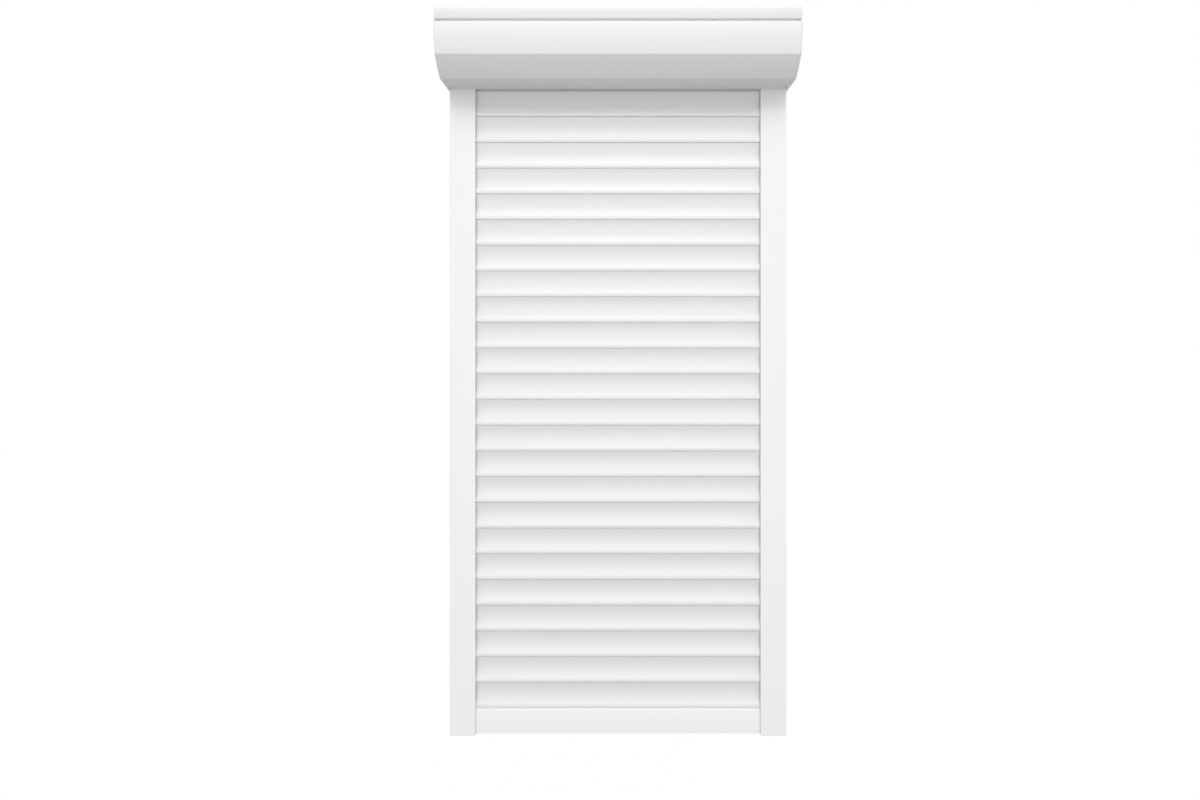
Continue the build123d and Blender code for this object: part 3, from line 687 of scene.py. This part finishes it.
# %% [markdown]
# ## Guide rails
# A rail is drawn lying along the width with the same tool, and then stood up. Its section
# is given as the distance across, from the shutter's middle, and the depth from the wall.
# The left rail is a mirrored copy of the right one.

# %% Tools that stand a piece up and mirror it
def stand_up(piece, name):
    """Turn a piece that was drawn lying: its length goes up, and its section lies level."""
    upright = Matrix(((0, -1, 0, 0), (0, 0, -1, 0), (1, 0, 0, 0), (0, 0, 0, 1)))
    piece.data.transform(upright)
    piece.name = piece.data.name = name
    return piece


def mirrored(piece, name):
    """A copy of a piece on the other side of the shutter's middle."""
    copy = place_copy(piece, name, 0, (0, 0, 0))
    copy.data.transform(Matrix.Scale(-1, 4, (1, 0, 0)))
    copy.data.flip_normals()
    return copy


def dress_pair(piece, node):
    """Dress a right-hand piece and its mirrored copy, which stand for a pair of nodes."""
    left = mirrored(piece, piece.name.replace("_right", "_left"))
    for side, made in (("right", piece), ("left", left)):
        smooth(made)
        dress(made, f"{node}_{side}")


print("rail tools are ready")

# %% [markdown]
# A cover is clipped on the rail's base from the street side. It is a flat front with
# rounded edges, and two legs behind it that end in small hooks.

# %% Rail covers
rail_foot = rail_low.z
outside = rail_high.x / MM
mouth = rail_low.x / MM
rail_depth = -rail_low.y / MM
cover_wall = 1.5
cover_round = 2
rail_wall = 1.8
channel_reach = 48
catch = 0.8
catch_rise = 1
leg_wall = 1.2
leg_depth = 22
chamber_start = mouth + channel_reach + rail_wall
chamber_end = outside - rail_wall
chamber_middle = (chamber_start + chamber_end) / 2
chamber_half = (chamber_end - chamber_start) / 2
cover_inset = cover_round * round_share
cover_back = rail_depth - cover_wall
leg_out = chamber_half - catch - seal_play
hook_out = chamber_half - seal_play

cover_section = [
    (mouth, rail_depth - cover_round),
    ((mouth + cover_inset, rail_depth - cover_inset), (mouth + cover_round, rail_depth)),
    (outside - cover_round, rail_depth),
    ((outside - cover_inset, rail_depth - cover_inset), (outside, rail_depth - cover_round)),
    (outside, cover_back),
    (chamber_middle + leg_out, cover_back),
    (chamber_middle + leg_out, leg_depth + catch_rise),
    (chamber_middle + hook_out, leg_depth + catch_rise),
    (chamber_middle + leg_out, leg_depth),
    (chamber_middle + leg_out - leg_wall, leg_depth),
    (chamber_middle + leg_out - leg_wall, cover_back),
    (chamber_middle - leg_out + leg_wall, cover_back),
    (chamber_middle - leg_out + leg_wall, leg_depth),
    (chamber_middle - leg_out, leg_depth),
    (chamber_middle - hook_out, leg_depth + catch_rise),
    (chamber_middle - leg_out, leg_depth + catch_rise),
    (chamber_middle - leg_out, cover_back),
    (mouth, cover_back),
]
cover = roll_section(
    "cover_model", rail_foot, rail_head, (mouth, cover_back), cover_section, turn_steps=8)
dress_pair(stand_up(cover, "rail_cover_right_extruded"), "rail_cover")
print("rail cover faces:", len(cover.data.polygons))

# %% [markdown]
# Each rail holds two brushes of sealing pile, one before and one behind the curtain. They
# keep it from rattling. A brush is a flat backing and a row of dense pile with a round tip.

# %% Rail seals
brush_inset = 3.7
brush_middle = mouth + brush_inset
backing_half = 2.5
backing_rise = 1.2
pile_half = 1.1
pile_clear_back = 1.5
pile_clear_front = 0.5
rail_channel_front = -rail_seal_front / MM
back_tip = bead_depth - rear_reach - face_bow - pile_clear_back
front_tip = bead_depth + bar_reach + pile_clear_front
brushes = []
for root, way, tip in ((rail_wall, 1, back_tip), (rail_channel_front, -1, front_tip)):
    brush_section = [
        (brush_middle - backing_half, root + way * backing_rise),
        (brush_middle - pile_half, root + way * backing_rise),
        (brush_middle - pile_half, tip - way * pile_half),
        ((brush_middle, tip), (brush_middle + pile_half, tip - way * pile_half)),
        (brush_middle + pile_half, root + way * backing_rise),
        (brush_middle + backing_half, root + way * backing_rise),
        (brush_middle + backing_half, root),
        (brush_middle - backing_half, root),
    ]
    brushes.append(roll_section(
        "brush_model", rail_foot, rail_head, (brush_middle - backing_half, root),
        brush_section, turn_steps=8))
seals = join(brushes, "seals_model")
dress_pair(stand_up(seals, "rail_seals_right_brushed"), "rail_seals")
print("rail seal faces:", len(seals.data.polygons))

# %% [markdown]
# ## Box
# The front panel is one folded sheet. It is drawn as a line with rounded bends and then
# given its thickness. `folded` rounds the corners of a line, and `outset` moves a closed
# line outwards, which gives the end caps their rim outside the panels. `thicken` and
# `cut_away` each add a modifier and apply it at once.

# %% Tools for folded sheet
def folded(points, radii):
    """Turn a line with corners into a start and steps with an arc in each inner corner."""
    steps = []
    for before, corner, after, radius in zip(points, points[1:], points[2:], radii):
        before, corner, after = Vector(before), Vector(corner), Vector(after)
        inwards = (corner - before).normalized()
        onwards = (after - corner).normalized()
        half_turn = inwards.angle(onwards) / 2
        reach = radius * tan(half_turn)
        middle = corner + (onwards - inwards).normalized() * radius * (1 / cos(half_turn) - 1)
        steps.append(tuple(corner - inwards * reach))
        if radius:
            steps.append((tuple(middle), tuple(corner + onwards * reach)))
    steps.append(tuple(points[-1]))
    return points[0], steps


def outset(points, amount):
    """Move a closed outline that is drawn clockwise outwards, or inwards by less than zero."""
    moved = []
    for before, corner, after in zip(points[-1:] + points[:-1], points, points[1:] + points[:1]):
        inwards = (Vector(corner) - Vector(before)).normalized()
        onwards = (Vector(after) - Vector(corner)).normalized()
        first, second = Vector((-inwards.y, inwards.x)), Vector((-onwards.y, onwards.x))
        moved.append(tuple(Vector(corner) + (first + second) * amount / (1 + first.dot(second))))
    return moved


def thicken(piece, thickness, side):
    """Give a folded line its thickness, on the side its normals point to, or on the other."""
    wall = piece.modifiers.new("wall", "SOLIDIFY")
    wall.thickness = thickness
    wall.offset = side
    wall.use_even_offset = True
    bpy.context.view_layer.objects.active = piece
    bpy.ops.object.modifier_apply(modifier="wall")


def cut_away(piece, cutter):
    """Cut one solid out of another, and drop the cutter."""
    cut = piece.modifiers.new("cut", "BOOLEAN")
    cut.operation = "DIFFERENCE"
    cut.object = cutter
    bpy.context.view_layer.objects.active = piece
    bpy.ops.object.modifier_apply(modifier="cut")
    bpy.data.objects.remove(cutter)


print("sheet tools are ready")

# %% [markdown]
# The front panel starts with a hook that hangs on the top panel's lip. Then come the
# bowed face, the bevel under it, which is slightly bowed too, and the underside.

# %% Front panel
sheet = 1.2
bend = 2.2
box_foot = panel_low.z / MM
box_top = box_head / MM
box_depth = -panel_low.y / MM
underside_start = -panel_high.y / MM
lip_drop = 35
lip_return = 6
strip_lean = 6.4
hook_play = 0.3
hook_bend = 1.5
hook_back = 12
hook_rise = 1
groove = 12
crown_share = 0.9
face_lean = 16
face_foot = 58
underside_depth = 130
facet_bow = 4
facet_share = 0.85
lip_foot = box_top - lip_drop
strip_foot_depth = box_depth - strip_lean
face_top = lip_foot - groove
crown_run = (face_top - box_foot - face_foot) / 2
crown_height = face_top - crown_run
crown_radius = crown_share * crown_run / tan(atan2(face_lean, crown_run) / 2)
hook_depth = box_depth - lip_return - hook_back
hook_height = lip_foot + sheet + hook_rise
facet_top = Vector((box_depth - face_lean, box_foot + face_foot))
facet_foot = Vector((underside_depth, box_foot))
facet_run = facet_foot - facet_top
facet_half = facet_run.length / 2
facet_middle = tuple(
    (facet_top + facet_foot) / 2 + Vector((-facet_run.y, facet_run.x)).normalized() * facet_bow)
facet_radius = facet_share * facet_half ** 2 / facet_bow

panel_line = [
    (strip_foot_depth - bend - hook_play, hook_height), (hook_depth, hook_height),
    (hook_depth, face_top), (box_depth, face_top), (box_depth, crown_height),
    tuple(facet_top), facet_middle, tuple(facet_foot), (underside_start, box_foot),
]
start, panel_steps = folded(
    panel_line, (hook_bend, bend, bend, crown_radius, bend, facet_radius, bend))
front_panel = roll_section(
    "front_panel_folded", -half_box, half_box, start, panel_steps, turn_steps=10, closed=False)
thicken(front_panel, sheet * MM, 1)
smooth(front_panel)
dress(front_panel, "front_panel")
print("front panel faces:", len(front_panel.data.polygons))

# %% [markdown]
# The top panel is one folded sheet too. It goes up the wall, over the top and down in a
# short strip, which bows back towards its foot and so darkens above the groove. Its back
# has holes for two wall screws and for the grommet of the motor's cable.

# %% Top and back panel
strip_bow_share = 0.8
strip_half = lip_drop / 2
strip_radius = strip_bow_share * strip_half / tan(atan2(strip_lean, strip_half) / 2)
wall_screw_radius = 3.1
wall_screw_place = (400, 2473)
grommet_radius = 7.2
grommet_place = (-540, 2330)

top_line = [
    (0, box_foot), (0, box_top), (box_depth, box_top), (box_depth, box_top - strip_half),
    (strip_foot_depth, lip_foot), (strip_foot_depth - lip_return, lip_foot),
]
start, top_steps = folded(top_line, (bend, bend, strip_radius, bend))
top_panel = roll_section(
    "box_top_back_panel_folded", -half_box, half_box, start, top_steps, turn_steps=10,
    closed=False)
thicken(top_panel, sheet * MM, -1)
wall_holes = [
    (wall_screw_place, wall_screw_radius),
    ((-wall_screw_place[0], wall_screw_place[1]), wall_screw_radius),
    (grommet_place, grommet_radius),
]
for (across, height), radius in wall_holes:
    bpy.ops.object.select_all(action="DESELECT")
    bpy.ops.mesh.primitive_cylinder_add(
        vertices=48, radius=radius * MM, depth=4 * sheet * MM,
        location=(across * MM, 0, height * MM), rotation=(tau / 4, 0, 0))
    cut_away(top_panel, bpy.context.object)
smooth(top_panel)
dress(top_panel, "box_top_back_panel")
top_corners = [corner[1] for corner in top_panel.bound_box]
print("top panel faces:", len(top_panel.data.polygons), "depths in mm:",
      round(-max(top_corners) / MM, 2), round(-min(top_corners) / MM, 2))

# %% [markdown]
# ## End caps
# A cap is cast: a plate with a raised rim round a sunk field, a flange inside the box that
# carries the panels, and a tongue that goes down into the rail. The plate starts as the
# box's outline, moved out a little. The field is cut out of its outer face by a smaller
# plate, and the edges are bevelled as a mould leaves them.

# %% End cap plate
cap_proud = 1
rim_width = 7
field_depth = 1.5
edge_round = 0.5
box_corners = [
    (0, box_foot), (0, box_top), (box_depth, box_top), (box_depth, crown_height),
    tuple(facet_top), facet_middle, tuple(facet_foot),
]
rim_corners = [(max(depth, 0), height) for depth, height in outset(box_corners, cap_proud)]
field_corners = outset(rim_corners, -rim_width)


def roll_plate(name, corners, inner, outer):
    """A flat plate with the box's outline, whose crown and bevel alone are rounded."""
    start, steps = folded(corners + corners[:1], (0, 0, crown_radius, 0, facet_radius, 0))
    return roll_section(name, inner, outer, start, steps, turn_steps=10)


cap = roll_plate("end_cap_right_cast", rim_corners, half_box, cap_outer)
cut_away(cap, roll_plate(
    "field_cutter", field_corners, cap_outer - field_depth * MM, cap_outer + field_depth * MM))
rim_edge = cap.modifiers.new("rim", "BEVEL")
rim_edge.width = edge_round * MM
rim_edge.segments = 3
rim_edge.limit_method = "ANGLE"
bpy.ops.object.modifier_apply(modifier="rim")
print("end cap plate faces:", len(cap.data.polygons))

# %% [markdown]
# The flange follows the inside of the panels as a folded strip, and is open where the lip
# and the hook of the two panels meet. The tongue is a small upright block.

# %% End cap flange and tongue
flange_wall = 3
flange_gap = 0.6
flange_inset = sheet + flange_gap
flange_stop = 2
flange_depth = 18
tongue_drop = 60
tongue_inset = 3
tongue_round = 1.5
tongue_low = chamber_end - catch - seal_play - leg_wall - seal_play
inner_corners = outset(box_corners, -flange_inset)
flange_line = [
    (hook_depth - sheet - flange_stop, inner_corners[1][1]), inner_corners[1], inner_corners[0],
    inner_corners[6], inner_corners[5], inner_corners[4], inner_corners[3],
    (inner_corners[3][0], face_top - sheet - flange_stop)]
start, flange_steps = folded(flange_line, (bend, bend, bend, facet_radius, bend, crown_radius))
flange = roll_section(
    "flange_model", half_box - flange_depth * MM, half_box, start, flange_steps, closed=False)
thicken(flange, flange_wall * MM, -1)
tongue_near, tongue_far = rail_wall + tongue_inset, rail_channel_front - tongue_inset
tongue_corners = [
    (tongue_near, box_foot), (tongue_near, box_foot - tongue_drop),
    (tongue_far, box_foot - tongue_drop), (tongue_far, box_foot + flange_inset + flange_wall),
    (tongue_near, box_foot + flange_inset + flange_wall), (tongue_near, box_foot)]
start, tongue_steps = folded(tongue_corners, (tongue_round,) * 4)
tongue = roll_section(
    "tongue_model", half_box - flange_depth * MM, tongue_low * MM, start, tongue_steps)
cap = join([cap, flange, tongue], "end_cap_right_cast")
dress_pair(cap, "end_cap")
print("end cap faces:", len(cap.data.polygons))

# %% [markdown]
# ## Box screws
# Sheet-metal screws with a domed head and a cross recess hold the panels and brackets to
# the end caps. One screw is turned by spinning its profile, and the cross is cut out by two
# crossed bars.

# %% One screw
head_radius = 4.6
head_rise = 2.6
rim_share = 0.4
dome_steps = 5
shank_radius = 2.5
shank_length = 7
thread_pitch = 1.4
thread_depth = 0.4
cross_reach = 2.4
cross_width = 1
cross_depth = 1.5
spin_steps = 24
plane_half = 0.5


def turn_profile(name, points):
    """Spin a profile of radius and height, in millimetres, about the vertical axis."""
    bpy.ops.object.select_all(action="DESELECT")
    bpy.ops.mesh.primitive_plane_add(size=2 * plane_half * MM, location=(0, 0, 0))
    piece = bpy.context.object
    piece.name = piece.data.name = name
    bpy.ops.object.mode_set(mode="EDIT")
    bpy.ops.mesh.select_mode(type="VERT")
    keep_selected(piece, lambda place: place.x > 0 or place.y > 0)
    bpy.ops.mesh.delete(type="VERT")
    bpy.ops.mesh.select_all(action="SELECT")
    (radius, height), *others = points
    bpy.ops.transform.translate(
        value=((radius + plane_half) * MM, plane_half * MM, height * MM))
    for next_radius, next_height in others:
        bpy.ops.mesh.extrude_region_move(TRANSFORM_OT_translate={
            "value": ((next_radius - radius) * MM, 0, (next_height - height) * MM)})
        radius, height = next_radius, next_height
    bpy.ops.mesh.select_all(action="SELECT")
    bpy.ops.mesh.spin(steps=spin_steps, angle=tau, center=(0, 0, 0), axis=(0, 0, 1))
    bpy.ops.mesh.select_all(action="SELECT")
    bpy.ops.mesh.remove_doubles(threshold=merge_distance)
    bpy.ops.mesh.normals_make_consistent(inside=False)
    bpy.ops.object.mode_set(mode="OBJECT")
    return piece


thread = []
for turn in range(int(shank_length / thread_pitch)):
    root_height = -shank_length + turn * thread_pitch
    thread.append((shank_radius - thread_depth, root_height))
    thread.append((shank_radius, root_height + thread_pitch / 2))
dome_angles = [tau / 4 * step / dome_steps for step in range(dome_steps)]
dome = [
    (head_radius * cos(angle), head_rise * (rim_share + (1 - rim_share) * sin(angle)))
    for angle in dome_angles]
screw_profile = [
    (0, -shank_length), *thread, (shank_radius - thread_depth, 0), (head_radius, 0),
    *dome, (0, head_rise)]
screw_model = turn_profile("screw_model", screw_profile)
for turn in (0, tau / 4):
    bpy.ops.object.select_all(action="DESELECT")
    bpy.ops.mesh.primitive_cube_add(size=1, location=(0, 0, 0))
    bar = bpy.context.object
    bar.data.transform(
        Matrix.Rotation(turn, 4, "Z") @ Matrix.Translation((0, 0, head_rise * MM))
        @ Matrix.Diagonal((2 * cross_reach * MM, cross_width * MM, 2 * cross_depth * MM, 1)))
    cut_away(screw_model, bar)
print("screw faces:", len(screw_model.data.polygons))

# %% [markdown]
# Eight screws hold the panels to the end caps, from below and from above. Eight more hold
# the brackets of the motor and of the bearing, four at the corners of each. All stand
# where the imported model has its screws.

# %% Set the screws
bracket_size = 74
bracket_screw_share = 0.4
bracket_inset = 4
screw_x = half_box - flange_depth / 2 * MM
panel_shares = (0.3, 0.72)
underside_run = underside_depth - rail_depth
down = Matrix.Rotation(tau / 2, 4, "X")
places = []
for way in (1, -1):
    for share in panel_shares:
        under = (way * screw_x, -(rail_depth + share * underside_run) * MM, box_foot * MM)
        above = (way * screw_x, -share * box_depth * MM, box_top * MM)
        places.append(Matrix.Translation(under) @ down)
        places.append(Matrix.Translation(above))
bracket_screw = bracket_screw_share * bracket_size
bracket_face = half_width - bracket_inset * MM
shaft_middle = (-box_depth / 2 * MM, (box_foot + box_top) / 2 * MM)
for way in (1, -1):
    inwards = Matrix.Rotation(-way * tau / 4, 4, "Y")
    for across_way in (1, -1):
        for up_way in (1, -1):
            places.append(Matrix.Translation((
                way * bracket_face, shaft_middle[0] + across_way * bracket_screw * MM,
                shaft_middle[1] + up_way * bracket_screw * MM)) @ inwards)
screws = []
for number, place in enumerate(places):
    screw = place_copy(screw_model, f"screw_{number}", 0, (0, 0, 0))
    screw.data.transform(place)
    screws.append(screw)
bpy.data.objects.remove(screw_model)
box_screws = join(screws, "box_screws_turned")
smooth(box_screws)
dress(box_screws, "box_screws")
print("screws:", len(places))
